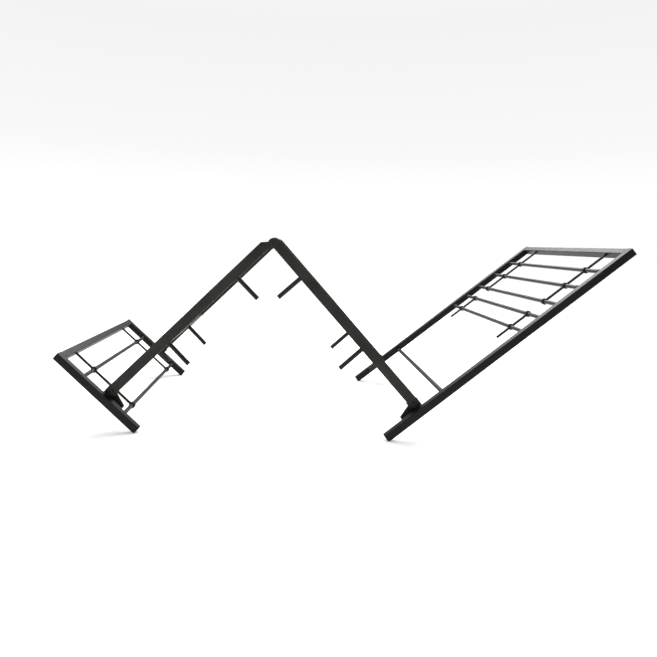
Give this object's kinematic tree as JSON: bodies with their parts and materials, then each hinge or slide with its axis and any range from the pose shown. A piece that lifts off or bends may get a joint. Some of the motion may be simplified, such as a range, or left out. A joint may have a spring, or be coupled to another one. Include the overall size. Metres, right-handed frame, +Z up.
{
  "type": "monkey bars",
  "caption": "Folding climbing frame: two hinged beam pairs with hanging legs, and a ladder with rungs and rods on each end.",
  "frame": {"origin": "on the ground under the middle of the overall box", "axes": "+X from the short ladder to the long one, +Y from the near side to the far side, +Z up"},
  "size_m": [3.0512, 1.31, 1.055],
  "materials": {
    "rail_paint": "satin black powder coat",
    "beam_paint": "satin black-brown powder coat",
    "rung_paint": "satin dark grey powder coat",
    "fastener_steel": "blackened zinc",
    "foot_rubber": "moulded",
    "cap_plastic": "moulded",
    "bush_plastic": "moulded"
  },
  "bodies": {
    "right_ladder": {"right_bracket_far": "beam_paint", "right_bracket_near": "beam_paint", "right_foot_far": "foot_rubber", "right_foot_near": "foot_rubber", "right_lower_rod_far": "rung_paint", "right_lower_rod_near": "rung_paint", "right_pivot_bolt_far": "fastener_steel", "right_pivot_bolt_near": "fastener_steel", "right_pivot_nuts": "fastener_steel", "right_pivot_washers": "fastener_steel", "right_rail_far": "rail_paint", "right_rail_near": "rail_paint", "right_rung_1": "rung_paint", "right_rung_2": "rung_paint", "right_rung_3": "rung_paint", "right_rung_4": "rung_paint", "right_rung_5": "rung_paint", "right_rung_caps": "cap_plastic", "right_tie_bar": "rung_paint", "right_top_bar": "rail_paint", "right_top_caps": "cap_plastic", "right_upper_rod_far": "rung_paint", "right_upper_rod_near": "rung_paint"},
    "right_frame": {"apex_sleeve_far": "fastener_steel", "apex_sleeve_near": "fastener_steel", "right_beam_far": "beam_paint", "right_beam_near": "beam_paint", "right_cross_bar": "rung_paint", "right_leg_lower": "rung_paint", "right_leg_middle": "rung_paint", "right_leg_tips": "cap_plastic", "right_leg_upper": "rung_paint", "right_pivot_bushes": "bush_plastic"},
    "left_frame": {"apex_tongue_far": "beam_paint", "apex_tongue_near": "beam_paint", "left_beam_far": "beam_paint", "left_beam_near": "beam_paint", "left_cross_bar": "rung_paint", "left_leg_lower": "rung_paint", "left_leg_middle": "rung_paint", "left_leg_tips": "cap_plastic", "left_leg_upper": "rung_paint", "left_pivot_bushes": "bush_plastic"},
    "left_ladder": {"left_bracket_far": "beam_paint", "left_bracket_near": "beam_paint", "left_foot_far": "foot_rubber", "left_foot_near": "foot_rubber", "left_pivot_bolt_far": "fastener_steel", "left_pivot_bolt_near": "fastener_steel", "left_pivot_nuts": "fastener_steel", "left_pivot_washers": "fastener_steel", "left_rail_far": "rail_paint", "left_rail_near": "rail_paint", "left_rod_far": "rung_paint", "left_rod_near": "rung_paint", "left_rung_1": "rung_paint", "left_rung_2": "rung_paint", "left_rung_caps": "cap_plastic", "left_top_bar": "rail_paint", "left_top_caps": "cap_plastic"}
  },
  "joints": [
    {"name": "right_fold", "type": "hinge", "parent": "right_ladder", "child": "right_frame", "pos_m": [0.39216, 0, 0.19104], "axis": [0, 1, 0], "range_deg": [0, 91]},
    {"name": "apex_open", "type": "hinge", "parent": "right_frame", "child": "left_frame", "pos_m": [-0.39481, 0, 1.01336], "axis": [0, 1, 0], "range_deg": [0, 92.4]},
    {"name": "left_fold", "type": "hinge", "parent": "left_frame", "child": "left_ladder", "pos_m": [-1.22568, 0, 0.20358], "axis": [0, 1, 0], "range_deg": [0, 92]}
  ]
}
